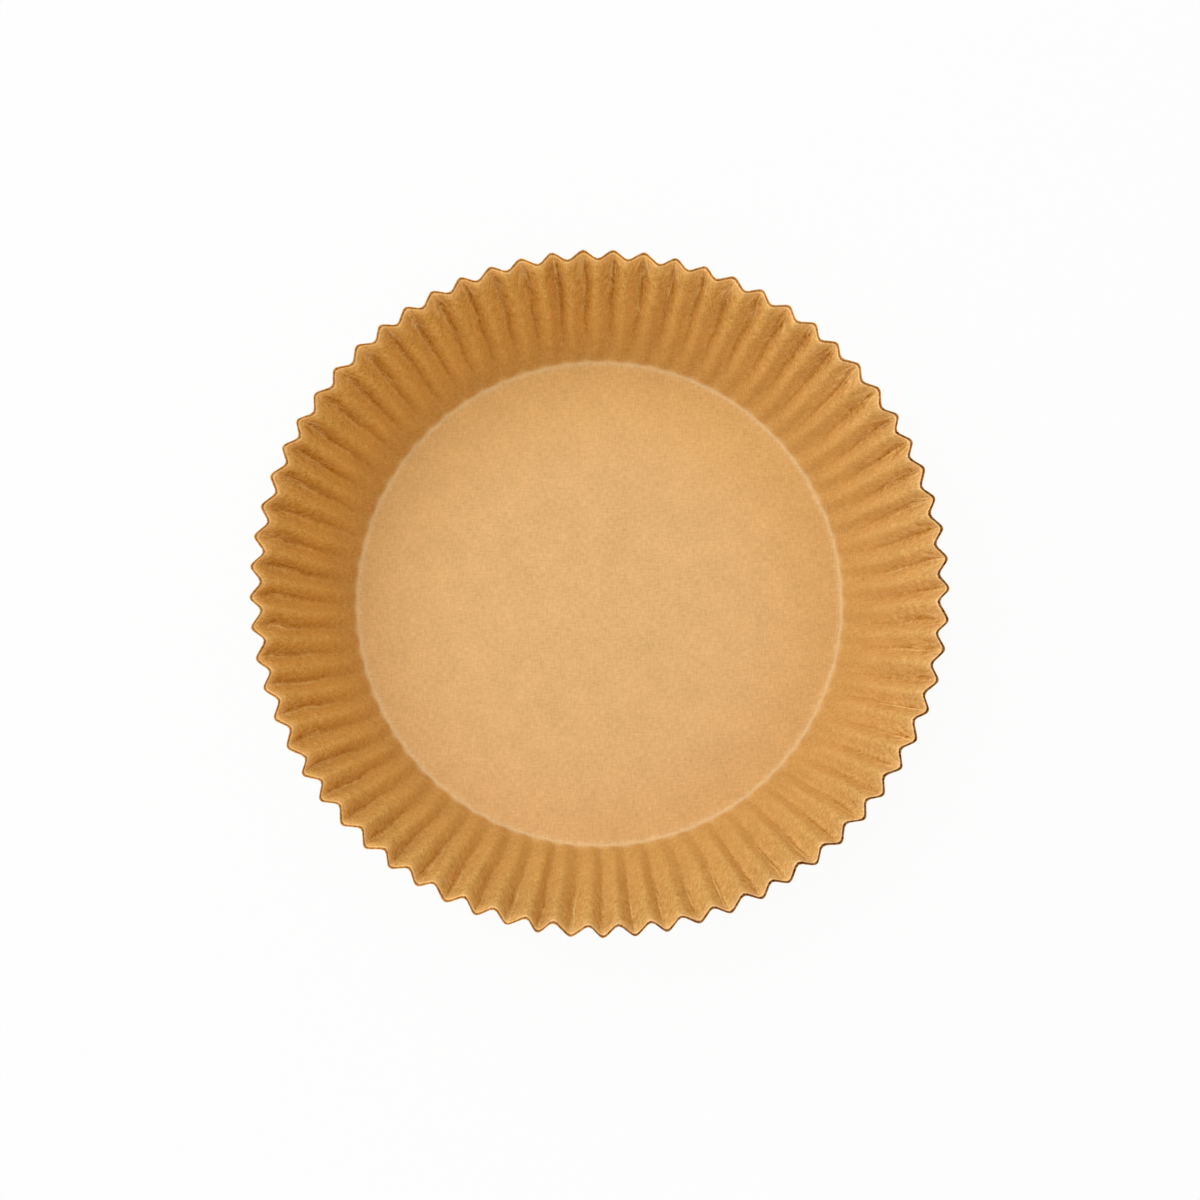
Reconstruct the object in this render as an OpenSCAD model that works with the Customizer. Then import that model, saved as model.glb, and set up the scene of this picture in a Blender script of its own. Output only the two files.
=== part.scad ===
// Round baking liner pressed from one disc of unbleached kraft paper.
// The flat base turns up into a wall that leans outwards. The disc has more paper than the wall has
// room for, so the wall gathers into flutes that deepen from the crease up to the rim.

/* [Base] */
// Diameter of the flat base, across the crease where it meets the wall
base_d = 160; // [120:1:176]
// Radius of the turn between the base and the wall
crease_r = 1.2; // [0.6:0.1:3]

/* [Wall] */
// Diameter over the outer folds at the rim
rim_d = 200; // [190:1:230]
// Height of the rim at its outer folds
wall_h = 44.5; // [25:0.5:70]

/* [Flutes] */
// Number of flutes round the wall
flutes = 69; // [48:1:76]
// Depth of a flute at the rim, from outer fold to inner turn
flute_depth = 3.2; // [1:0.1:4.5]
// Half width of the rounded inner turn, as a share of the pitch
turn_share = 0.22; // [0.1:0.02:0.4]

/* [Paper] */
// Thickness of the paper
paper_t = 0.06; // [0.04:0.01:0.3]

/* [Hidden] */

kraft = [0.80, 0.60, 0.37];

base_r = base_d / 2;
half_depth = flute_depth / 2;

// Lean of the middle of the wall and its length of paper, so that the outer folds reach the rim
rim_reach = rim_d / 2 - base_r;
to_rim = norm([rim_reach, wall_h]);
wall_length = sqrt(pow(to_rim, 2) - pow(half_depth, 2));
lean = atan2(wall_h, rim_reach) + atan2(half_depth, wall_length);

// The turn is an arc that meets the base and the wall where their paper leaves the flat
turn_reach = crease_r * tan(lean / 2);
turn_steps = 2;
wall_steps = 4;

// A station is [paper from the centre, radius, height, angle of the paper] at the middle of a flute
function turn_station(a) = [
    base_r - turn_reach + crease_r * a * PI / 180,
    base_r - turn_reach + crease_r * sin(a),
    crease_r * (1 - cos(a)),
    a
];
function wall_station(s) = [
    base_r - 2 * turn_reach + crease_r * lean * PI / 180 + s,
    base_r + s * cos(lean),
    s * sin(lean),
    lean
];

// Steps up the wall grow with the square, since the flutes deepen fastest just above the crease
stations = concat(
    [for (i = [0 : turn_steps]) turn_station(lean * i / turn_steps)],
    [for (i = [1 : wall_steps])
        wall_station(turn_reach + (wall_length - turn_reach) * pow(i / wall_steps, 2))]
);

// Spare paper at a station, as a share of the room that the wall has for it there
function surplus(st) = st[0] / st[1] - 1;

rim_surplus = surplus(stations[len(stations) - 1]);

// A gathered sheet takes up its surplus by folds whose depth goes with the surplus's root
function depth_at(st) = flute_depth * sqrt(max(0, surplus(st)) / rim_surplus);

// One flute runs from outer fold to outer fold: sharp outside, straight sided, rounded inside
flank_slope = 2 / (1 - turn_share);
flute_points = [0, 0.5 - turn_share, 0.5 - turn_share / 2, 0.5, 0.5 + turn_share / 2, 0.5 + turn_share];

// Place across a flute's depth at u pitches from a fold: 0.5 on the outer fold, -0.5 on the inner turn
function wave(u) =
    let (v = min(u, 1 - u))
    v < 0.5 - turn_share
        ? 0.5 - flank_slope * v
        : flank_slope * pow(0.5 - v, 2) / (2 * turn_share) - 0.5;

around = flutes * len(flute_points);

// Point of the sheet's middle at a station, j points round from the first outer fold
function mid_point(st, j) =
    let (
        flute = floor(j / len(flute_points)),
        u = flute_points[j - flute * len(flute_points)],
        a = 360 * (flute + u) / flutes,
        out = depth_at(st) * wave(u),
        r = st[1] + out * sin(st[3]),
        z = st[2] - out * cos(st[3])
    )
    [r * cos(a), r * sin(a), z];

mid = [for (st = stations) [for (j = [0 : around - 1]) mid_point(st, j)]];

last = len(stations) - 1;

// Unit vector square to the sheet at a station and a point, towards the inside of the liner
function inward(i, j) =
    i == 0
        ? [0, 0, 1]
        : let (
            up = mid[min(i + 1, last)][j] - mid[i - 1][j],
            along = mid[i][(j + 1) % around] - mid[i][(j + around - 1) % around],
            n = cross(up, along)
        )
        n / norm(n);

function skin(side) = [
    for (i = [0 : last])
        for (j = [0 : around - 1])
            mid[i][j] + [0, 0, paper_t / 2] + side * paper_t / 2 * inward(i, j)
];

function at(i, j) = i * around + j % around;

// Both skins of the wall, closed by the cut edge at the rim and by the ring where it meets the base
module wall() {
    outside = len(stations) * around;
    ring = [0 : around - 1];
    polyhedron(
        points = concat(skin(1), skin(-1)),
        faces = concat(
            [for (i = [0 : last - 1]) for (j = ring) [at(i, j), at(i, j + 1), at(i + 1, j + 1)]],
            [for (i = [0 : last - 1]) for (j = ring) [at(i, j), at(i + 1, j + 1), at(i + 1, j)]],
            [for (i = [0 : last - 1]) for (j = ring)
                [outside + at(i, j), outside + at(i + 1, j + 1), outside + at(i, j + 1)]],
            [for (i = [0 : last - 1]) for (j = ring)
                [outside + at(i, j), outside + at(i + 1, j), outside + at(i + 1, j + 1)]],
            [for (j = ring) [at(last, j), at(last, j + 1), outside + at(last, j + 1), outside + at(last, j)]],
            [for (j = ring) [at(0, j + 1), at(0, j), outside + at(0, j), outside + at(0, j + 1)]]
        )
    );
}

// Flat base, cut to the ring of points that the wall starts from
module base() {
    linear_extrude(height = paper_t)
        polygon([for (p = mid[0]) [p[0], p[1]]]);
}

module liner() {
    color(kraft) {
        base();
        wall();
    }
}

liner();
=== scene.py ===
"""Looks of a round baking liner of unbleached kraft paper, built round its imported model.

The liner is one sheet: a flat base, a pressed crease and a wall gathered into flutes. Every point of it is
worked out from its place on the flat disc that the liner was cut from, so the grain of the paper runs on
over the crease and up the flutes as it does on a real one. Lengths are in metres.
"""

import logging
import math
from dataclasses import dataclass, field
from enum import Enum
from typing import Any

import bpy
import numpy as np
from mathutils import Matrix, Vector

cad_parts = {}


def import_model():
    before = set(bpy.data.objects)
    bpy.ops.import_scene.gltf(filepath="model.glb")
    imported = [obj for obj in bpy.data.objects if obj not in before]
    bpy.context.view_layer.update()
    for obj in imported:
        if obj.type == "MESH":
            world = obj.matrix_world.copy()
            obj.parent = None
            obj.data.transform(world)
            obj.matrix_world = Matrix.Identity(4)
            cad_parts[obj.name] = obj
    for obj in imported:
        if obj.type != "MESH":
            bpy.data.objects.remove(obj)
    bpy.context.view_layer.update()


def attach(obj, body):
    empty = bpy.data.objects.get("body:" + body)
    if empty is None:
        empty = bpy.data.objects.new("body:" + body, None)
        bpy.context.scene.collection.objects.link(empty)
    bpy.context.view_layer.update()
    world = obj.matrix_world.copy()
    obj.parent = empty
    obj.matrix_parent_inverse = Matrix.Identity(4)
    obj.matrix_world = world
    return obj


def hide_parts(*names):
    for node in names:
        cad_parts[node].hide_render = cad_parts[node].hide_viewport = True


LOG = logging.getLogger("liner")
MM = 0.001
IMAGE_SIDE = 1200

Colour = tuple[float, float, float, float]
Paint = bpy.types.NodeSocket
Number = "Value | float | int"


def as_seen(red: int, green: int, blue: int) -> Colour:
    """Turns a colour as it looks on a screen, from 0 to 255, into a linear one with full opacity."""
    parts = (c / 255 for c in (red, green, blue))
    return (*(c / 12.92 if c <= 0.04045 else ((c + 0.055) / 1.055) ** 2.4 for c in parts), 1.0)


class Value:
    """A number that changes over a surface. It wraps a socket, and arithmetic on it adds Math nodes."""

    def __init__(self, nodes: "Nodes", socket: bpy.types.NodeSocket) -> None:
        """Keeps the socket that carries the number, and the tree that arithmetic on it adds nodes to."""
        self.nodes = nodes
        self.socket = socket

    def __add__(self, other: Number) -> "Value":
        """This number plus another."""
        return self.nodes.maths("ADD", self, other)

    def __sub__(self, other: Number) -> "Value":
        """This number less another."""
        return self.nodes.maths("SUBTRACT", self, other)

    def __rsub__(self, other: Number) -> "Value":
        """A plain number less this one."""
        return self.nodes.maths("SUBTRACT", other, self)

    def __mul__(self, other: Number) -> "Value":
        """This number times another."""
        return self.nodes.maths("MULTIPLY", self, other)

    def __truediv__(self, other: Number) -> "Value":
        """This number over another."""
        return self.nodes.maths("DIVIDE", self, other)

    def __mod__(self, other: Number) -> "Value":
        """What is left of this number after whole turns of another."""
        return self.nodes.maths("FLOORED_MODULO", self, other)

    def __neg__(self) -> "Value":
        """This number with the other sign."""
        return 0 - self

    def __abs__(self) -> "Value":
        """This number without its sign."""
        return self.nodes.maths("ABSOLUTE", self)

    __radd__ = __add__
    __rmul__ = __mul__

    def floor(self) -> "Value":
        """The whole part of this number."""
        return self.nodes.maths("FLOOR", self)

    def clear(self, low: float, high: float) -> "Value":
        """Smooth step of this number.

        Args:
            low: Where the step leaves 0.
            high: Where it comes to 1.

        Returns:
            0 below low, 1 above high, and an even S between them.
        """
        ends = {"Value": self, "From Min": low, "From Max": high}
        step = self.nodes.add("MapRange", {"interpolation_type": "SMOOTHSTEP"}, ends)
        return Value(self.nodes, step.outputs[0])

    def hump(self, middle: Number, width: float) -> "Value":
        """Bell of this number: e to minus the square of its distance from the middle, in widths."""
        away = (self - middle) / width
        return self.nodes.maths("EXPONENT", -(away * away))


class Nodes:
    """A shader's node tree, with one method that adds any node."""

    def __init__(self, owner: "bpy.types.Material | bpy.types.World") -> None:
        """Gives a material or a world an empty tree and keeps the tree.

        Args:
            owner: The material or the world.
        """
        owner.use_nodes = True
        self.tree = owner.node_tree
        self.tree.nodes.clear()

    def add(
        self, kind: str, settings: dict[str, Any] | None = None, sockets: dict[str, Any] | None = None
    ) -> bpy.types.Node:
        """Adds a node, makes its settings, and then gives its sockets values or links.

        Args:
            kind: The node's type without its ShaderNode prefix.
            settings: Attributes of the node, set before its sockets.
            sockets: What each input gets, by its name or identifier: a number, a colour, a Value or a socket.

        Returns:
            The new node.
        """
        node = self.tree.nodes.new("ShaderNode" + kind)
        for name, setting in (settings or {}).items():
            setattr(node, name, setting)
        inputs = {s.name: s for s in reversed(node.inputs)} | {s.identifier: s for s in node.inputs}
        for name, given in (sockets or {}).items():
            socket = inputs[name]
            if isinstance(given, Value):
                given = given.socket
            if isinstance(given, bpy.types.NodeSocket):
                self.tree.links.new(given, socket)
            else:
                socket.default_value = given
        return node

    def maths(self, operation: str, *numbers: Number) -> Value:
        """Adds a Math node with one, two or three operands, and gives its result."""
        sockets = dict(zip(("Value", "Value_001", "Value_002"), numbers))
        return Value(self, self.add("Math", {"operation": operation}, sockets).outputs[0])

    def vector(self, operation: str, sockets: dict[str, Any], output: str = "Vector") -> bpy.types.NodeSocket:
        """Adds a Vector Math node, whose operands are named as its sockets, and gives its output."""
        return self.add("VectorMath", {"operation": operation}, sockets).outputs[output]

    def mix(self, share: Number, colour: Any, other: Any) -> Paint:
        """Mixes two colours or sockets; the share is 0 for the first and 1 for the second."""
        sockets = {"Factor_Float": share, "A_Color": colour, "B_Color": other}
        return self.add("Mix", {"data_type": "RGBA"}, sockets).outputs[2]

    def at(self, x: Number, y: Number) -> bpy.types.NodeSocket:
        """Joins two numbers into a flat vector."""
        return self.add("CombineXYZ", None, {"X": x, "Y": y}).outputs[0]

    def split(self, vector: bpy.types.NodeSocket) -> tuple[Value, Value]:
        """Takes a flat vector apart into its two numbers."""
        parts = self.add("SeparateXYZ", None, {"Vector": vector}).outputs
        return Value(self, parts["X"]), Value(self, parts["Y"])

    def noise(self, place: Any, scale: float, detail: float = 2.0, rough: float = 0.5) -> Value:
        """Adds flat fractal noise, about -0.5 to 0.5, with octaves of finer blots as detail."""
        sockets = {"Vector": place, "Scale": scale, "Detail": detail, "Roughness": rough}
        return Value(self, self.add("TexNoise", {"noise_dimensions": "2D"}, sockets).outputs[0]) - 0.5

    def lot(self, number: Value, salt: float) -> Value:
        """Draws a fixed lot from 0 to 1 for each whole number; the salt tells rows of lots apart."""
        cell = self.add("TexWhiteNoise", {"noise_dimensions": "2D"}, {"Vector": self.at(number, salt)})
        return Value(self, cell.outputs["Value"])


class Skin(Enum):
    """A face of the paper, as its side of the sheet's middle."""

    INSIDE = 1
    OUTSIDE = -1


class PaperMap(Enum):
    """The two maps that the liner carries."""

    BLANK = "Blank"
    FLUTES = "Flutes"


@dataclass(frozen=True)
class Spot:
    """Where a shaded point lies on the flat blank, in millimetres, and how it lies to the nearest fold.

    Attributes:
        nodes: The tree that works it out.
        place: The point, as a vector from the blank's middle.
        out: Its distance from the middle.
        past: Its distance past the middle of the crease.
        left: The paper left between it and the cut edge.
        up: How far up the wall it lies, from 0 at the crease to 1 at the cut edge.
        on_wall: 0 on the base and 1 on the wall.
        east: How far it lies along X, as a share of the blank's radius.
        north: How far it lies along Y, as a share of the blank's radius.
        side: How far it lies away from the lamp, from -1 to 1; the cut edge has painted shadow that way.
        fold: Number of the nearest fold.
        aside: Its distance from that fold round the paper, counterclockwise.
        inner: 1 on the inside of the liner, where an outer fold is a valley, and 0 on the outside.
    """

    nodes: Nodes
    place: bpy.types.NodeSocket
    out: Value
    past: Value
    left: Value
    up: Value
    on_wall: Value
    east: Value
    north: Value
    side: Value
    fold: Value
    aside: Value
    inner: Value


@dataclass(frozen=True)
class Weave:
    """The paper's own texture at a point.

    Attributes:
        mottle: Soft blots from a millimetre to a centimetre across.
        grain: Short streaks of fibre that lie along the sheet and across it.
        fibre: 0 on a single raised fibre and 1 away from it.
        crinkle: Small buckles.
    """

    mottle: Value
    grain: Value
    fibre: Value
    crinkle: Value


@dataclass(frozen=True)
class Pinch:
    """The marks at a point, painted shade and highlight and pressed lines, each from 0 to about 1.

    Attributes:
        band: The painted shade down the valley.
        dark: Pressed lines, partly painted shade, and painted shadow on the low side of a buckle.
        pale: Painted highlight along the pinch's ridge, on strokes at the tip and on the high side of a
            buckle.
        fan: Streaks of painted highlight and shade that spread from the fold's tip, from about -0.5 to 0.5.
    """

    band: Value
    dark: Value
    pale: Value
    fan: Value


@dataclass(frozen=True)
class FoldMarks:
    """The marks along each fold: lines that the press leaves, and painted shade and highlight. Widths and
    distances are millimetres of paper.

    The paper is pinched over on itself a little beside each fold; the pinch is not in the shape, and its
    shade and highlight are painted. What lies along a pinch breaks up into plies, which are noise stretched
    along the fold. A share that goes with east or north makes a mark stronger or weaker towards that side
    of the liner, as painted light and shade.
    """

    # How far the pinch wanders to both sides, how far it lies clockwise of the fold, and how much further in
    # the west, and how far it lies counterclockwise in the east
    wander: float = 1.2
    back: float = 0.3
    back_west: float = 0.7
    ahead_east: float = 1.6
    # Least distance of a kink from the cut edge, and the room of the lot that places it
    knot_from: float = 5.0
    knot_room: float = 20.0
    # Blots of noise in each millimetre along a fold
    stretch: float = 0.10
    # Widths of the painted shade's soft side and of its core
    soft_w: float = 2.1
    core_w: float = 0.85
    # Least distance of the dark lines from the pinch, the room of the lot that adds to it, and their width
    gap: float = 0.30
    gap_room: float = 0.4
    line_w: float = 0.38
    # Where the pale line of painted highlight lies in the west, how much further back it lies in the east,
    # and its width
    ridge_at: float = 0.85
    ridge_shift: float = 2.1
    ridge_w: float = 0.24
    # Each buckle's salt and its least distance from the cut edge
    buckles: tuple[tuple[float, float], ...] = ((1.5, 3.5), (2.5, 14.0))
    # Width of the strokes of painted highlight at the tip, as a slant, and strength of the streaks there
    wing_w: float = 0.075
    fan_share: float = 2.5
    # Share of the painted lines that also shows on the outside of the paper
    outside_share: float = 0.35

    def add(self, spot: Spot) -> Pinch:
        """Adds all the marks.

        The band, painted shade down the valley, has a soft side clockwise of the pinch and ends sharply on
        the other. Two dark lines, partly painted shade, whose distance and weight are drawn by lot, lie to
        both sides of the pinch, and a pale line of painted highlight lies beside them.

        Args:
            spot: The point on the blank.

        Returns:
            The marks.
        """
        nodes, fold, up = spot.nodes, spot.fold, spot.up
        near = self.near(spot)
        off = abs(near)
        plies = nodes.noise(nodes.at(near * 1.25 + fold * 5.3, spot.out * self.stretch), 1.0, 1.0)
        eastern = spot.east.clear(-0.2, 0.6)

        # Painted shade down the valley, only on the inside, stronger to the north and weaker to the east
        soft = near.hump(0.0, self.soft_w) * (1 - near.clear(-0.1, 0.45))
        band = (soft * 0.70 + near.hump(-0.15, self.core_w) * 0.80) * up.clear(0.0, 1.05) * (1 - plies * 1.2)
        band = band * (0.5 + spot.left.clear(1.5, 5.0) * 0.5) * (1.83 + spot.north * 1.25 - spot.east * 0.38)

        # Dark lines beside the pinch, partly painted shade, stronger to the north and the east
        gap = (self.gap + nodes.lot(fold, 7.5) * self.gap_room) * up.clear(0.0, 0.9)
        weight = 1 - abs(near.clear(-0.08, 0.08) - nodes.lot(fold, 8.5)) * 0.6
        dark = (off - gap).hump(0.0, self.line_w) * weight * (0.30 - plies * 0.5)
        dark = dark * (0.8 + spot.north * 1.1 + eastern * 0.5)
        dark = (dark + (-plies).clear(0.02, 0.20) * near.hump(-0.2, 1.4) * 0.35) * up.clear(0.12, 0.85)

        # Painted highlight on the pinch's ridge, stronger to the east and weaker at the north
        ridge = near.hump(self.ridge_at - eastern * self.ridge_shift, self.ridge_w)
        ridge = ridge * nodes.lot(fold, 9.5).clear(0.25, 0.8) * (1 + eastern * 1.8)
        ridge = ridge * (1 - spot.north.clear(0.75, 0.95) * 0.85) + near.hump(0.0, 0.20) * 0.4
        ridge_highlight = near.hump(0.75, 0.45) * 0.22 + ridge * (0.7 + plies * 2.0)
        pale = (ridge_highlight + plies.clear(0.03, 0.20) * near.hump(0.3, 1.3) * 0.5) * up.clear(0.3, 0.85)

        # Buckles add painted highlight and painted shadow; the tips add painted highlight and shade
        for salt, lowest in self.buckles:
            high, low = self.buckle(spot, off, salt, lowest)
            pale, dark = pale + high, dark + low
        strokes, streaks = self.tips(spot)
        shown = self.outside_share + spot.inner * (1 - self.outside_share)
        return Pinch(band * spot.inner, dark * shown, (pale + strokes) * shown, streaks * shown)

    def near(self, spot: Spot) -> Value:
        """Finds how far a point is from the pinch beside its fold.

        It is the distance from the fold, less a slow wander along it and finer unevenness of the paper, moved
        over by a fixed step below the height of the kink, and moved by the amounts for each side.

        Args:
            spot: The point on the blank.

        Returns:
            The distance, counterclockwise.
        """
        nodes = spot.nodes
        wander = nodes.noise(nodes.at(spot.fold * 7.3, spot.out * self.stretch), 1.0) * self.wander
        knot = self.knot_from + nodes.lot(spot.fold, 5.5) * self.knot_room
        kink = (spot.left - knot).clear(-0.4, 0.6) * (nodes.lot(spot.fold, 6.5) - 0.5)
        kink = kink * (0.8 - spot.east * 0.6)
        ahead = (spot.east * 0.985 + spot.north * 0.17).clear(0.6, 1.0) * self.ahead_east
        back = self.back + (-spot.east).clear(0.5, 0.85) * self.back_west
        uneven = nodes.noise(spot.place, 0.45) * (0.5 - spot.east * 0.6 - spot.north * 0.3)
        return spot.aside - wander - ahead + back + kink - uneven

    def buckle(self, spot: Spot, off: Value, salt: float, lowest: float) -> tuple[Value, Value]:
        """Paints a buckle on each fold: a chevron to the cut edge, highlight above and shadow below.

        The chevron is where the paper left to the cut edge is that of its tip plus a share of the distance
        from the pinch. Its tip, its share and whether it shows at all are drawn by lot.

        Args:
            spot: The point on the blank.
            off: Its distance from the pinch.
            salt: Tells one row of buckles from another.
            lowest: Least distance of a tip from the cut edge.

        Returns:
            The painted highlight and the painted shadow.
        """
        nodes = spot.nodes
        tip = lowest + nodes.lot(spot.fold, salt) * 9.0
        past_tip = spot.left - tip - off * (1.1 + nodes.lot(spot.fold, salt + 0.3) * 1.6)
        shown = (1 - off.clear(1.0, 3.0)) * nodes.lot(spot.fold, salt + 0.6).clear(0.35, 0.8)
        return past_tip.hump(0.0, 0.36) * shown * 0.8, past_tip.hump(0.55, 0.40) * shown * 0.9

    def tips(self, spot: Spot) -> tuple[Value, Value]:
        """Paints highlight and shade that spread from each fold's tip, by the slant from a point just past
        it.

        Two strokes of painted highlight have the same slant on both sides, drawn by lot. Streaks of painted
        highlight and shade are noise over the slant, drawn out away from the tip.

        Args:
            spot: The point on the blank.

        Returns:
            The strokes, and the streaks, above zero where they are painted highlight and below it where
            painted shade.
        """
        lot, noise, left, fold = spot.nodes.lot, spot.nodes.noise, spot.left, spot.fold
        slant = spot.aside / (left + 1.5)
        wing = (abs(slant) - 0.20 - lot(fold, 10.5) * 0.14).hump(0.0, self.wing_w)
        wing = wing * lot(fold, 11.5).clear(0.25, 0.8) * left.clear(1.3, 2.2) * (1 - left.clear(4.0, 9.0))
        streak = noise(spot.nodes.at(slant * 4.5 + fold * 9.1, left * 0.10), 1.0, 1.0, 0.6)
        reach = (1 - left.clear(3.0, 15.0)) * left.clear(0.9, 2.5) * (1 - abs(slant).clear(0.25, 0.9))
        reach = reach * (1 - abs(spot.aside).clear(2.5, 5.0)) * (0.8 + spot.east * 0.25 + spot.north * 0.35)
        return wing * (0.6 + spot.north * 0.35 + spot.east * 0.25), streak * reach * self.fan_share


@dataclass(frozen=True)
class KraftPaper:
    """Unbleached greaseproof kraft: warm, matt, faintly mottled, with fibres that lie two ways."""

    # The base in its middle, painted light to the north, and painted shade inside the crease, most in the
    # east
    body: Colour = as_seen(223, 179, 120)
    north_painted_light: Colour = as_seen(226, 180, 110)
    crease_painted_shade: Colour = as_seen(209, 163, 98)
    # The wall just above the crease, with painted shade, and higher up, each in a lit copy and a copy with
    # painted shade for the west-north-west side, and painted shade in the south
    foot: Colour = as_seen(216, 169, 99)
    foot_shade: Colour = as_seen(211, 160, 85)
    wall: Colour = as_seen(223, 175, 104)
    shade: Colour = as_seen(225, 171, 87)
    south_painted_shade: Colour = as_seen(212, 169, 97)
    # Painted shade and highlight along the folds, and the crease, partly whitened and partly painted
    # highlight
    valley: Colour = as_seen(176, 113, 28)
    pale: Colour = as_seen(242, 203, 134)
    creased: Colour = as_seen(229, 198, 147)
    # The lip, pale with painted highlight, the dark line inside the cut, partly painted shadow, and the
    # fibres of the cut itself, each as it is on two sides, with painted light and shadow by side
    lip: Colour = as_seen(252, 210, 146)
    lip_shade: Colour = as_seen(255, 206, 130)
    cut: Colour = as_seen(164, 104, 42)
    cut_painted_shadow: Colour = as_seen(92, 50, 14)
    fibres: Colour = as_seen(228, 178, 112)
    fibres_painted_shadow: Colour = as_seen(196, 134, 60)
    # What full grain adds to the linear colour
    speck: tuple[float, float, float] = (0.75, 0.57, 0.34)
    # How rough and shiny the paper is, and how strong each texture and mark shows on it
    roughness: float = 0.62
    specular: float = 0.10
    mottle: float = 0.22
    grain: float = 0.19
    band_share: float = 0.72
    dark_share: float = 0.46
    pale_share: float = 0.60
    crease_share: float = 0.50
    marks: FoldMarks = field(default_factory=FoldMarks)

    def dress(self, piece: bpy.types.Object, form: "PressedLiner") -> None:
        """Gives a piece the paper, read from its two maps.

        Args:
            piece: The piece, with its maps in place.
            form: The liner's sizes, which place the crease, the lip and the folds on the paper.
        """
        material = bpy.data.materials.new("kraft_paper")
        nodes = Nodes(material)
        spot = self.find(nodes, form)
        weave = self.weave(spot)
        colour = self.whiten_and_highlight_crease(self.press(self.plain(spot), spot), spot, weave)
        colour = self.speckle(self.edge(colour, spot), spot, weave)

        relief = weave.grain * 0.010 + weave.fibre * 0.006 + weave.crinkle * (0.014 + spot.on_wall * 0.105)
        bump = nodes.add("Bump", None, {"Strength": 1.0, "Distance": MM, "Height": relief})
        skin = {
            "Base Color": colour,
            "Roughness": self.roughness + weave.grain * 0.12,
            "Specular IOR Level": self.specular,
            "Normal": bump.outputs["Normal"],
        }
        paper = nodes.add("BsdfPrincipled", None, skin)
        nodes.add("OutputMaterial", None, {"Surface": paper.outputs["BSDF"]})
        piece.data.materials.append(material)

    def find(self, nodes: Nodes, form: "PressedLiner") -> Spot:
        """Reads the two maps.

        Args:
            nodes: The tree.
            form: The liner's sizes.

        Returns:
            The point's place on the blank and by its fold.
        """
        rim, crease = form.blank_r / MM, form.crease_at / MM
        flat = nodes.add("UVMap", {"uv_map": PaperMap.BLANK.value}).outputs["UV"]
        centred = nodes.vector("SUBTRACT", {"Vector": flat, "Vector_001": (0.5, 0.5, 0.0)})
        place = nodes.vector("MULTIPLY", {"Vector": centred, "Vector_001": (2 * rim, 2 * rim, 0.0)})
        out = Value(nodes, nodes.vector("LENGTH", {"Vector": place}, "Value"))
        east, north = (way / rim for way in nodes.split(place))

        turns, skin = nodes.split(nodes.add("UVMap", {"uv_map": PaperMap.FLUTES.value}).outputs["UV"])
        count = turns * form.flutes
        nearest = (count + 0.5).floor()
        past = out - crease
        return Spot(
            nodes=nodes,
            place=place,
            out=out,
            past=past,
            left=rim - out,
            up=past / (rim - crease),
            on_wall=past.clear(-0.3, 2.0),
            east=east,
            north=north,
            side=east * 0.9 - north * 0.44,
            fold=nearest % form.flutes,
            aside=(count - nearest) * out * (2 * math.pi / form.flutes),
            inner=skin.clear(-0.01, 0.01),
        )

    def weave(self, spot: Spot) -> Weave:
        """Adds the paper's texture: noise on the flat blank, so that it runs on over crease and flutes.

        Args:
            spot: The point on the blank.

        Returns:
            The texture.
        """
        nodes = spot.nodes
        along = nodes.vector("MULTIPLY", {"Vector": spot.place, "Vector_001": (0.45, 1.7, 1.0)})
        over = nodes.vector("MULTIPLY", {"Vector": spot.place, "Vector_001": (1.7, 0.45, 1.0)})
        strand = nodes.noise(spot.place, 0.9, 0.0)
        return Weave(
            mottle=nodes.noise(spot.place, 0.09, 4.0, 0.72),
            grain=nodes.noise(along, 1.0, 1.0) + nodes.noise(over, 1.0, 1.0),
            fibre=abs(strand).clear(0.0, 0.02),
            crinkle=nodes.noise(spot.place, 0.42, 2.0, 0.55),
        )

    def plain(self, spot: Spot) -> Paint:
        """Colours the base and the wall, before any mark, with painted light and shade by side and by height.

        Args:
            spot: The point on the blank.

        Returns:
            The colour.
        """
        nodes = spot.nodes
        # Painted shade in the ring inside the crease, strongest in the east, and painted light towards the
        # north
        crease_shade_share = spot.out.clear(48.0, 78.0) * (0.15 + spot.east * 0.6)
        north_light_share = spot.out.clear(30.0, 78.0) * (0.3 + spot.north * 0.86)
        base = nodes.mix(crease_shade_share, nodes.mix(north_light_share, self.body, self.north_painted_light), self.crease_painted_shade)
        # Lit and painted-shade copies of the wall by side, painted shade at its foot and painted shade in the
        # south
        lamp_facing_walls = spot.side.clear(-0.9, 0.9)
        high = nodes.mix(lamp_facing_walls, self.shade, self.wall)
        foot = nodes.mix(lamp_facing_walls, self.foot_shade, self.foot)
        wall = nodes.mix(1 - spot.up.clear(0.05, 0.5), high, foot)
        wall = nodes.mix((-spot.north).clear(0.2, 0.9) * 0.5, wall, self.south_painted_shade)
        return nodes.mix(spot.on_wall, base, wall)

    def press(self, colour: Paint, spot: Spot) -> Paint:
        """Lays the fold marks, painted shade and highlight, on a colour. Shade s counts as s / (1 + s), so it
        levels off.

        Args:
            colour: The colour so far.
            spot: The point on the blank.

        Returns:
            The colour with them.
        """
        nodes = spot.nodes
        pinch = self.marks.add(spot)
        # The band is painted shade; the other marks are partly painted shade and highlight
        shaded = pinch.band * self.band_share
        colour = nodes.mix(shaded / (1 + shaded), colour, self.valley)
        colour = nodes.mix(pinch.dark * self.dark_share, colour, self.valley)
        colour = nodes.mix(pinch.pale * self.pale_share, colour, self.pale)
        colour = nodes.mix(pinch.fan.clear(0.0, 0.5) * 0.60, colour, self.pale)
        return nodes.mix((-pinch.fan).clear(0.0, 0.5) * 0.35, colour, self.valley)

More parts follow.
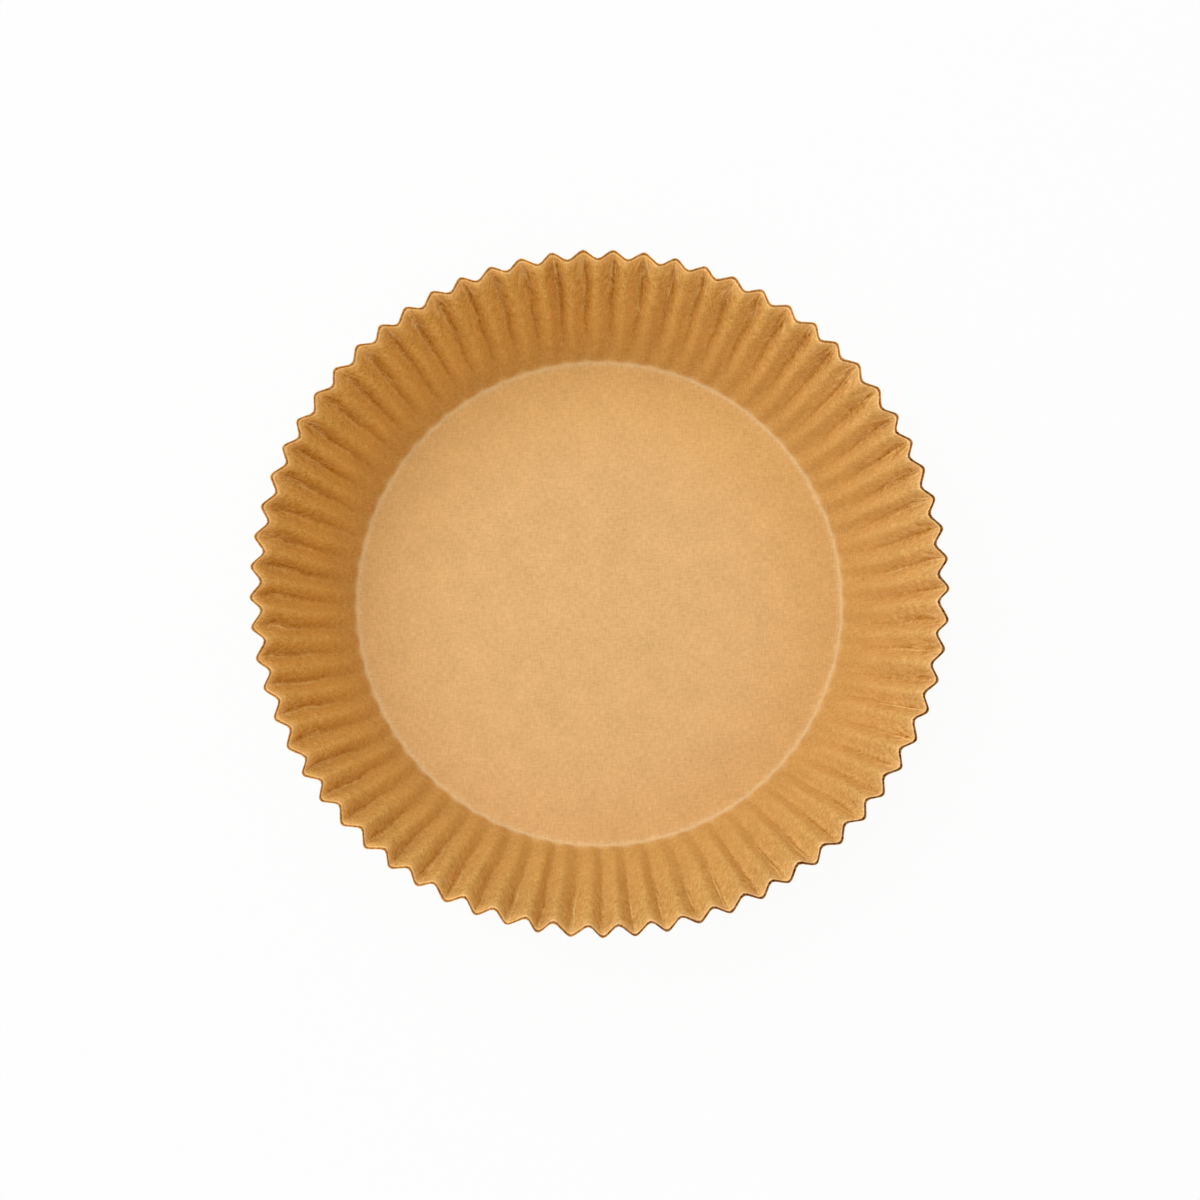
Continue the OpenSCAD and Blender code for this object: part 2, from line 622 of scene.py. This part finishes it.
    def whiten_and_highlight_crease(self, colour: Paint, spot: Spot, weave: Weave) -> Paint:
        """Whitens the crease and paints its highlight: a bright line, soft to the base and the wall, frayed.

        Args:
            colour: The colour so far.
            spot: The point on the blank.
            weave: The paper's texture, which frays the line.

        Returns:
            The colour with the crease.
        """
        nodes = spot.nodes
        # The crease line is partly whitened paper and partly painted highlight
        frayed = spot.past + weave.crinkle * 2.2 * spot.on_wall + weave.grain * 0.6 + weave.mottle * 1.2
        line = frayed.hump(-0.35, 0.60) + frayed.hump(-1.1, 1.0) * 0.35 + frayed.hump(1.0, 1.2) * 0.22
        return nodes.mix(line * self.crease_share, colour, self.creased)

    def edge(self, colour: Paint, spot: Spot) -> Paint:
        """Colours the cut: a pale lip with painted light, a dark line, partly painted shadow, and loose
        fibres.

        Args:
            colour: The colour so far.
            spot: The point on the blank.

        Returns:
            The colour with its edge.
        """
        nodes = spot.nodes
        # Painted highlight on the lip and painted light on the wall below it, stronger on the shaded side
        lip = nodes.mix(spot.side.clear(-0.5, 0.9), self.lip_shade, self.lip)
        rim_painted_light = (1 - spot.left.clear(1.4, 5.0)) * (0.43 - spot.side * 0.15)
        colour = nodes.mix(spot.left.hump(1.15, 0.36) * 0.60 + rim_painted_light, colour, lip)
        # The dark line inside the cut is partly a darker cut and partly painted shadow of the curled hem; it
        # and the fibres darken with painted shadow on the side away from the lamp
        shadow_side = spot.side.clear(0.1, 0.9)
        cut = nodes.mix(shadow_side, self.cut, self.cut_painted_shadow)
        colour = nodes.mix((1 - spot.left.clear(0.70, 0.88)) * 0.95, colour, cut)
        fibres = nodes.mix(shadow_side, self.fibres, self.fibres_painted_shadow)
        return nodes.mix((1 - spot.left.clear(0.16, 0.36)) * (0.95 - shadow_side * 0.3), colour, fibres)

    def speckle(self, colour: Paint, spot: Spot, weave: Weave) -> Paint:
        """Puts the paper's texture into a colour: blots, buckles and fibres scale it, and grain adds to it.

        Args:
            colour: The colour so far.
            spot: The point on the blank.
            weave: The paper's texture.

        Returns:
            The colour with its texture.
        """
        nodes = spot.nodes
        buckled = weave.crinkle * spot.up.clear(0.0, 0.9) * 0.22
        tone = 1 + weave.mottle * self.mottle + buckled - (1 - weave.fibre) * 0.05
        toned = nodes.vector("SCALE", {"Vector": colour, "Scale": tone})
        coarse = 1 + spot.on_wall * 0.3 + spot.up.clear(0.3, 1.0) * 1.1
        specks = nodes.vector("SCALE", {"Vector": self.speck, "Scale": weave.grain * coarse * self.grain})
        return nodes.vector("ADD", {"Vector": toned, "Vector_001": specks})


def put(name: str, data: bpy.types.ID) -> bpy.types.Object:
    """Puts a new object into the scene.

    Args:
        name: Its name.
        data: Its mesh, lamp or camera.

    Returns:
        The object.
    """
    placed = bpy.data.objects.new(name, data)
    bpy.context.scene.collection.objects.link(placed)
    return placed


def corners(*places: tuple[np.ndarray, np.ndarray]) -> np.ndarray:
    """Stacks the rows and columns of each corner of many faces: faces by corners by 2."""
    return np.stack([np.stack(place, -1) for place in places], 1)


@dataclass
class PressedLiner:
    """The liner: one sheet of paper with a flat base, a crease and a fluted wall."""

    # Diameter of the base, radius of the crease, diameter and height of the rim over its outer folds,
    # number and depth of the flutes and thickness of the paper, as in the part's source
    base_d: float = 160 * MM
    crease_r: float = 1.2 * MM
    rim_d: float = 200 * MM
    wall_h: float = 44.5 * MM
    flutes: int = 69
    flute_depth: float = 3.2 * MM
    paper_t: float = 0.06 * MM
    # Half widths of the rounded outer fold and inner turn, in pitches
    fold_share: float = 0.13
    turn_share: float = 0.13
    # Lengths of paper over which the lip flares and its hem curls down, and the degrees that they come to
    lip_l: float = 0.9 * MM
    lip_lean: float = 32.0
    hem_l: float = 0.55 * MM
    hem_lean: float = -40.0
    # Paper that is cut off short of the wall's full length
    trim: float = 0.25 * MM
    # Depth of the flutes over the plain one, how much it swings round the rim, and the angle of the deepest
    deeper: tuple[float, float] = (1.06, 0.065)
    deepest_at: float = 204.0
    # How far the rim is out of round, and its flutes turned in degrees, by cosine and sine of twice the angle
    oval: tuple[float, float] = (0.67 * MM, -0.13 * MM)
    oval_turn: tuple[float, float] = (0.19, -0.64)
    # How far the base lies off the middle, and the rim off it the other way
    settled: tuple[float, float] = (0.11 * MM, -0.40 * MM)
    # Heights of the wall's crumples, of the base's slack and of the bead along the crease, and its half width
    crumple: float = 0.055 * MM
    slack: float = 0.05 * MM
    bead: float = 0.06 * MM
    bead_w: float = 0.7 * MM
    # Steps in which the profile is summed up, and the seed of all random draws
    profile_steps: int = 9000
    seed: int = 11
    finish: KraftPaper = field(default_factory=KraftPaper)
    # Places of the columns across one flute, in pitches from an outer fold to the next
    places: tuple[float, ...] = (
        *(0, 0.03, 0.075, 0.13, 0.2, 0.29, 0.39),
        *(0.5, 0.61, 0.71, 0.8, 0.87, 0.925, 0.97),
    )

    def __post_init__(self) -> None:
        """Works out the wall's lean and the sheet's lengths, as the part's source does."""
        reach = (self.rim_d - self.base_d) / 2
        half = self.flute_depth / 2
        to_rim = math.hypot(reach, self.wall_h)
        wall = math.sqrt(to_rim**2 - half**2)
        self.lean = math.atan2(self.wall_h, reach) + math.atan2(half, wall)
        self.turn_reach = self.crease_r * math.tan(self.lean / 2)
        self.turn_from = self.base_d / 2 - self.turn_reach
        self.turn_to = self.turn_from + self.crease_r * self.lean
        self.crease_at = (self.turn_from + self.turn_to) / 2
        self.blank_r = self.turn_to + wall - self.turn_reach - self.trim

    def rows(self) -> np.ndarray:
        """Distances from the blank's middle at which the sheet has a ring of points.

        Returns:
            Distances, close together at the crease and the lip.
        """
        base = np.array([18, 40, 58, 70, 76.0, 78.3]) * MM
        turn = np.linspace(self.turn_from, self.turn_to, 6)
        foot = self.turn_to + np.array([0.5, 1.2, 2.2, 3.6]) * MM
        top = self.blank_r - np.array([1.7, 1.25, 1.02, 0.80, 0.62, 0.50, 0.38, 0.26, 0.13, 0]) * MM
        wall = np.linspace(foot[-1], top[0], 26)[1:-1]
        return np.concatenate([base, turn, foot, wall, top])

    def profile(self, out: np.ndarray) -> tuple[np.ndarray, np.ndarray, np.ndarray]:
        """Follows the middle of the sheet out from the centre.

        The sheet's angle is 0 on the base, grows evenly over the turn, holds the lean up the wall, falls at
        the lip and goes on falling over the narrow hem that curls down to the cut edge. The radius is the
        running sum of its cosine and the height that of its sine. The flutes go on to the cut edge as if the
        lip didn't flare, so the angle comes back without lip and hem.

        Args:
            out: Distances from the blank's middle.

        Returns:
            Radius, height and angle at each distance, the angle without lip and hem.
        """
        fine = np.linspace(0, self.blank_r, self.profile_steps + 1)
        turn = np.clip((fine - self.turn_from) / (self.turn_to - self.turn_from), 0, 1)
        flare = np.clip((fine - self.blank_r + self.lip_l + self.hem_l) / self.lip_l, 0, 1)
        curl = np.clip((fine - self.blank_r + self.hem_l) / self.hem_l, 0, 1)
        lean = self.lean * turn
        angle = lean - (self.lean - math.radians(self.lip_lean)) * flare * flare * (3 - 2 * flare)
        angle = angle - math.radians(self.lip_lean - self.hem_lean) * curl
        angle = (angle[1:] + angle[:-1]) / 2
        sums = (np.append(0, np.cumsum(way(angle)) * fine[1]) for way in (np.cos, np.sin))
        return tuple(np.interp(out, fine, curve) for curve in (*sums, lean))

    def drop(self, u: np.ndarray) -> np.ndarray:
        """How far across a flute's depth the sheet has come at u pitches from a fold.

        The slope grows evenly over the fold, holds on the flank and falls evenly over the turn, and the drop
        is its running sum.

        Args:
            u: Distance from the outer fold in pitches, from 0 to 1.

        Returns:
            0 on the outer folds and 1 on the inner turn.
        """
        v = np.minimum(u, 1 - u)
        c, t = self.fold_share, self.turn_share
        slope = 1 / (0.5 - (c + t) / 2)
        over_fold = v * v / (2 * c)
        on_flank = v - c / 2
        over_turn = 0.5 - (c + t) / 2 - (0.5 - v) ** 2 / (2 * t)
        return slope * np.where(v < c, over_fold, np.where(v <= 0.5 - t, on_flank, over_turn))

    def wander(self, rng: np.random.Generator, share: np.ndarray, terms: int = 4) -> np.ndarray:
        """Slow wandering up the wall, another for each flute: a sum of a few sine waves with random phases.

        Args:
            rng: The source of the phases.
            share: How far up the wall each row lies, from 0 to 1.
            terms: How many waves.

        Returns:
            An array of rows by flutes, with a spread of about one.
        """
        order = np.arange(1, terms + 1)[:, None, None]
        phase = rng.uniform(0, 2 * math.pi, (terms, 1, self.flutes))
        size = rng.normal(0, 1, (terms, 1, self.flutes)) / order
        return (np.sin(math.pi * order * share[None, :, None] + phase) * size).sum(0)

    def ripple(
        self, rng: np.random.Generator, flat: np.ndarray, shortest: float, longest: float, count: int = 28
    ) -> np.ndarray:
        """Soft relief over the blank: a sum of sine waves that run in random directions.

        Args:
            rng: The source of directions, lengths and phases.
            flat: Places on the blank, rows by columns by 2.
            shortest: Shortest wave.
            longest: Longest wave.
            count: How many waves.

        Returns:
            Relief at each place, with a spread of one.
        """
        heading = rng.uniform(0, 2 * math.pi, count)
        waves = 2 * math.pi / rng.uniform(shortest, longest, count)
        phase = rng.uniform(0, 2 * math.pi, count)
        along = flat[..., :1] * (waves * np.cos(heading)) + flat[..., 1:] * (waves * np.sin(heading))
        return np.sin(along + phase).sum(-1) * math.sqrt(2 / count)

    def sheet(self) -> tuple[np.ndarray, np.ndarray]:
        """Works out the middle of the paper, with its flutes and its small crumples.

        A point stands on the profile at its distance out, moved square to the wall by the flute: out by half
        the depth on a fold and in by half on a turn. The depth at a row goes with the root of the paper that
        the blank has there beyond the wall's own length round. Folds differ a little in depth and stray a
        little sideways, most of all on the west side, and flutes lean a little. Crumples, the slack of the
        base and the bead of the crease then move it square to itself.

        Returns:
            Points, rows by columns by 3, and their places on the flat blank, rows by columns by 2.
        """
        rng = np.random.default_rng(self.seed)
        out = self.rows()
        radius, height, angle = self.profile(out)
        share = np.clip((out - self.crease_at) / (self.blank_r - self.crease_at), 0, 1)
        spare = np.maximum(out / radius - 1, 0)
        depth = self.flute_depth * np.sqrt(spare / spare[-1])

        flute = np.repeat(np.arange(self.flutes), len(self.places))
        u = np.tile(np.array(self.places), self.flutes)
        following = (flute + 1) % self.flutes
        nearest = np.where(u < 0.5, flute, following)

        middle = np.sin(math.pi * share)[:, None]
        fold_out = 1 + 0.05 * rng.normal(size=self.flutes) + 0.10 * middle * self.wander(rng, share)
        turn_in = 1 + 0.05 * rng.normal(size=self.flutes) + 0.10 * middle * self.wander(rng, share)
        stray = share[:, None] * 0.020 * rng.normal(size=self.flutes)
        stray = stray + 0.035 * middle * self.wander(rng, share)
        heading = np.arange(self.flutes) * (2 * math.pi / self.flutes)
        western = np.cos(heading - math.radians(170)).clip(0) ** 2
        stray -= (share * (1 - share**9))[:, None] * 0.09 * western
        skew = 0.030 * rng.normal(size=self.flutes) + 0.02 * middle * self.wander(rng, share)

        bow = skew[:, flute] * np.sin(math.pi * u) ** 2
        gap = 1 + stray[:, following] - stray[:, flute]
        turned = flute + stray[:, flute] + (u + bow) * gap
        theta = turned * (2 * math.pi / self.flutes)
        by_cos, by_sin = np.radians(self.oval_turn)
        theta = theta + share[:, None] * (by_cos * np.cos(2 * theta) + by_sin * np.sin(2 * theta))
        oval = share[:, None] * (self.oval[0] * np.cos(2 * theta) + self.oval[1] * np.sin(2 * theta))
        uneven = self.deeper[0] + self.deeper[1] * np.cos(theta - math.radians(self.deepest_at))

        dropped = self.drop(u)[None, :]
        across = (1 - dropped) * fold_out[:, nearest] - dropped * turn_in[:, flute]
        moved = depth[:, None] / 2 * uneven * across
        r = radius[:, None] + oval + moved * np.sin(angle)[:, None]
        z = height[:, None] - moved * np.cos(angle)[:, None] + self.paper_t / 2
        settled = np.array(self.settled) * (1 - 2 * share[:, None, None])
        plan = np.stack([r * np.cos(theta), r * np.sin(theta)], -1) + settled
        points = np.concatenate([plan, z[..., None]], -1)

        flat = self.flatten(points, out)
        # The product before 0.39 comes to no more than that
        crumple = self.crumple * (share * (1.25 - share)).clip(0)[:, None] / 0.39
        crumple = crumple * self.ripple(rng, flat, 4.5 * MM, 11 * MM)
        raised = (1 + self.ripple(rng, flat, 14 * MM, 40 * MM)).clip(0)
        slack = self.slack * (1 - share[:, None]) ** 8 * raised
        bead = self.bead * np.exp(-(((out - self.crease_at) / self.bead_w) ** 2))[:, None]
        points += (crumple + slack + bead)[..., None] * self.square_to(points)
        return points, flat

    def flatten(self, points: np.ndarray, out: np.ndarray) -> np.ndarray:
        """Lays the sheet out flat: a point's distance out is kept, and its turn goes with the paper's length.

        Args:
            points: Points of the sheet, rows by columns by 3.
            out: Distances from the blank's middle, one a row.

        Returns:
            Places on the blank, rows by columns by 2.
        """
        step = np.linalg.norm(np.roll(points, -1, 1) - points, axis=-1)
        step = step.reshape(len(out), self.flutes, len(self.places))
        before = np.cumsum(step, -1) - step
        part = (before / step.sum(-1, keepdims=True)).reshape(len(out), -1)
        turn = (np.repeat(np.arange(self.flutes), len(self.places)) + part) * (2 * math.pi / self.flutes)
        return out[:, None, None] * np.stack([np.cos(turn), np.sin(turn)], -1)

    def square_to(self, points: np.ndarray) -> np.ndarray:
        """Unit vectors square to the sheet: the way up the wall crossed with the way round it.

        Args:
            points: Points of the sheet, rows by columns by 3.

        Returns:
            Vectors towards the inside of the liner, rows by columns by 3.
        """
        up = np.gradient(points, axis=0)
        along = np.roll(points, -1, 1) - np.roll(points, 1, 1)
        square = np.cross(up, along)
        return square / np.linalg.norm(square, axis=-1, keepdims=True)

    def build(self) -> bpy.types.Object:
        """Makes the liner's mesh: both skins of the paper, closed at the centre and along the cut edge.

        The first map places each corner on the flat blank. The second counts flutes round the liner, and its
        height is the distance from the middle, below zero on the outside.

        Returns:
            The liner, at the origin, with its maps and its finish.
        """
        middle, flat = self.sheet()
        rows, columns = middle.shape[:2]
        square = self.square_to(middle)
        skins = [middle + side.value * self.paper_t / 2 * square for side in Skin]
        poles = np.array([[0, 0, self.paper_t], [0, 0, 0]])
        vertices = np.concatenate([*(skin.reshape(-1, 3) for skin in skins), poles])
        half = rows * columns

        corner, skin, sizes = self.faces(rows, columns)
        at_hub = corner[:, 0] < 0
        on_skin = skin * half + corner[:, 0] * columns + corner[:, 1] % columns
        index = np.where(at_hub, 2 * half + skin, on_skin)

        mesh = bpy.data.meshes.new("liner_paper")
        mesh.vertices.add(len(vertices))
        mesh.vertices.foreach_set("co", vertices.astype(np.float32).ravel())
        mesh.loops.add(len(index))
        mesh.loops.foreach_set("vertex_index", index.astype(np.int32))
        mesh.polygons.add(len(sizes))
        mesh.polygons.foreach_set("loop_start", (np.cumsum(sizes) - sizes).astype(np.int32))
        mesh.polygons.foreach_set("use_smooth", np.ones(len(sizes), bool))
        mesh.update(calc_edges=True)
        self.sharpen_rim(mesh, half, columns)

        on_blank = np.concatenate([flat.reshape(-1, 2), flat.reshape(-1, 2), np.zeros((2, 2))])
        blank = on_blank[index] / (2 * self.blank_r) + 0.5
        turns = (np.arange(self.flutes)[:, None] + np.array(self.places)).ravel()
        count = np.append(turns, self.flutes)[corner[:, 1]] / self.flutes
        reach = np.where(at_hub, 0.0, self.rows()[corner[:, 0]] / self.blank_r) * (1 - 2 * skin)
        for kind, uv in ((PaperMap.BLANK, blank), (PaperMap.FLUTES, np.stack([count, reach], -1))):
            mesh.uv_layers.new(name=kind.value).data.foreach_set("uv", uv.astype(np.float32).ravel())

        liner = put("liner_paper", mesh)
        self.finish.dress(liner, self)
        return liner

    def faces(self, rows: int, columns: int) -> tuple[np.ndarray, np.ndarray, np.ndarray]:
        """Lays out the faces of both skins, the two hubs and the cut edge.

        Args:
            rows: Rings of points in a skin.
            columns: Points in a ring.

        Returns:
            The corners' rows and columns, with row -1 at a hub and the columns not yet wrapped, then their
            skins, 0 inside and 1 outside, and then the number of corners of each face.
        """
        i, j = (a.ravel() for a in np.meshgrid(np.arange(rows - 1), np.arange(columns), indexing="ij"))
        ring = np.arange(columns)
        hub, first, last = (np.full(columns, row) for row in (-1, 0, rows - 1))
        sheet = corners((i, j), (i + 1, j), (i + 1, j + 1), (i, j + 1))
        middle = corners((hub, ring), (first, ring), (first, ring + 1))
        edge = corners((last, ring), (last, ring), (last, ring + 1), (last, ring + 1))
        parts = [
            (sheet, [0] * 4),
            (sheet[:, ::-1], [1] * 4),
            (middle, [0] * 3),
            (middle[:, ::-1], [1] * 3),
            (edge, [0, 1, 1, 0]),
        ]
        corner = np.concatenate([part.reshape(-1, 2) for part, _ in parts])
        skin = np.concatenate([np.tile(side, len(part)) for part, side in parts])
        sizes = np.concatenate([np.full(len(part), part.shape[1]) for part, _ in parts])
        return corner, skin, sizes

    def sharpen_rim(self, mesh: bpy.types.Mesh, half: int, columns: int) -> None:
        """Marks the two edges of the cut rim as sharp, so that the cut doesn't shade the paper beside it.

        Args:
            mesh: The liner's mesh.
            half: Number of points of one skin.
            columns: Number of points in a ring.
        """
        ends = np.empty(len(mesh.edges) * 2, np.int32)
        mesh.edges.foreach_get("vertices", ends)
        ends = ends.reshape(-1, 2)
        at_rim = (ends % half >= half - columns) & (ends < 2 * half)
        sharp = at_rim.all(1) & (ends // half == ends[:, :1] // half).all(1)
        mesh.attributes.new("sharp_edge", "BOOLEAN", "EDGE").data.foreach_set("value", sharp)


@dataclass(frozen=True)
class Studio:
    """A white table under a pale sky, one large soft lamp, and the camera."""

    # Side of the table, and diameter of the part of it that is clear under the base
    table_side: float = 3.0
    gap_d: float = 157 * MM
    # The table's own colour, the one that table and sky show to the camera, and its share on the table
    table: Colour = as_seen(244, 244, 244)
    backdrop: Colour = as_seen(254, 254, 254)
    shown: float = 0.95
    # Strength and colour of the sky on the object
    sky: float = 0.66
    sky_tint: Colour = (1.0, 0.98, 0.93, 1.0)
    # The lamp's colour, place, diameter and power in watts; it is aimed at the origin
    lamp_tint: tuple[float, float, float] = (0.97, 0.99, 1.05)
    lamp_place: tuple[float, float, float] = (-0.52, 0.30, 1.05)
    lamp_side: float = 1.2
    lamp_power: float = 8.15
    # The camera's place, its turns about X, Y and Z in degrees, and its focal length in pixels of the image
    eye: tuple[float, float, float] = (-2.46 * MM, -28.8 * MM, 355.7 * MM)
    tilt: tuple[float, float, float] = (4.55, -0.41, 0.745)
    focal_px: float = 1084.0

    def to_eye(self, nodes: Nodes) -> Value:
        """Tells the rays that see the plain backdrop: those of the camera, of gloss and through glass.

        Args:
            nodes: The tree.

        Returns:
            1 for such a ray and 0 for another.
        """
        rays = nodes.add("LightPath").outputs
        seen = Value(nodes, rays["Is Camera Ray"])
        for kind in ("Is Glossy Ray", "Is Transmission Ray"):
            seen = nodes.maths("MAXIMUM", seen, Value(nodes, rays[kind]))
        return seen

    def lay_table(self) -> bpy.types.Object:
        """Lays the white table, which the camera sees nearly white and which still takes a soft shadow.

        It is clear from below, and also where only the liner's base covers it, so that the base is lit when
        it is looked at from underneath.

        Returns:
            The table, a square with its face up.
        """
        half, low = self.table_side / 2, -0.05 * MM
        mesh = bpy.data.meshes.new("table")
        ends = [(x * half, y * half, low) for x, y in ((-1, -1), (1, -1), (1, 1), (-1, 1))]
        mesh.from_pydata(ends, [], [(0, 1, 2, 3)])
        material = bpy.data.materials.new("white_table")
        nodes = Nodes(material)
        matt = nodes.add("BsdfDiffuse", None, {"Color": self.table}).outputs[0]
        white = nodes.add("Emission", None, {"Color": self.backdrop}).outputs[0]
        share = self.to_eye(nodes) * self.shown
        top = nodes.add("MixShader", None, {"Fac": share, "Shader": matt, "Shader_001": white}).outputs[0]
        clear = nodes.add("BsdfTransparent").outputs[0]
        below = nodes.add("NewGeometry").outputs["Backfacing"]
        place = nodes.add("TexCoord").outputs["Object"]
        out = Value(nodes, nodes.vector("LENGTH", {"Vector": place}, "Value"))
        under = nodes.maths("LESS_THAN", out, self.gap_d / 2)
        gone = nodes.maths("MAXIMUM", Value(nodes, below), under)
        both = nodes.add("MixShader", None, {"Fac": gone, "Shader": top, "Shader_001": clear}).outputs[0]
        nodes.add("OutputMaterial", None, {"Surface": both})
        mesh.materials.append(material)
        return put("table", mesh)

    def light(self) -> None:
        """Sets the sky, which is white to the camera and pale to the object, and hangs the lamp."""
        world = bpy.data.worlds.new("pale_sky")
        nodes = Nodes(world)
        seen = self.to_eye(nodes)
        pale = nodes.add("Background", None, {"Color": self.sky_tint, "Strength": self.sky}).outputs[0]
        white = nodes.add("Background", None, {"Color": self.backdrop}).outputs[0]
        sky = nodes.add("MixShader", None, {"Fac": seen, "Shader": pale, "Shader_001": white}).outputs[0]
        nodes.add("OutputWorld", None, {"Surface": sky})
        bpy.context.scene.world = world

        lamp = bpy.data.lights.new("soft_lamp", "AREA")
        lamp.shape, lamp.size, lamp.energy = "DISK", self.lamp_side, self.lamp_power
        lamp.color = self.lamp_tint
        holder = put("soft_lamp", lamp)
        holder.location = self.lamp_place
        holder.rotation_euler = (-Vector(self.lamp_place)).to_track_quat("-Z", "Y").to_euler()

    def set_camera(self) -> None:
        """Places the camera almost straight above the liner, and makes it the scene's."""
        lens = bpy.data.cameras.new("camera")
        lens.sensor_width = 36
        lens.lens = self.focal_px / IMAGE_SIDE * lens.sensor_width
        lens.clip_start, lens.clip_end = 0.01, 20
        camera = put("camera", lens)
        turn = Matrix.Identity(4)
        for angle, axis in zip(self.tilt, "XYZ"):
            turn = turn @ Matrix.Rotation(math.radians(angle), 4, axis)
        camera.matrix_world = Matrix.Translation(self.eye) @ turn
        bpy.context.scene.camera = camera


def report(piece: bpy.types.Object) -> None:
    """Logs a piece's size and its number of triangles.

    Args:
        piece: The piece.
    """
    piece.data.calc_loop_triangles()
    size = ", ".join(f"{side / MM:.1f}" for side in piece.dimensions)
    LOG.info("%s: %s mm, %d triangles", piece.name, size, len(piece.data.loop_triangles))


def main() -> None:
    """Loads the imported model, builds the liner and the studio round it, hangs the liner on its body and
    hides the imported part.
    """
    logging.basicConfig(level=logging.INFO, format="%(name)s %(message)s")
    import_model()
    bpy.context.scene.view_settings.view_transform = "Standard"

    studio = Studio()
    studio.set_camera()
    studio.light()
    table = studio.lay_table()

    liner = PressedLiner().build()
    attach(liner, "root")
    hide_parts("liner")
    report(liner)


if __name__ == "__main__":
    main()
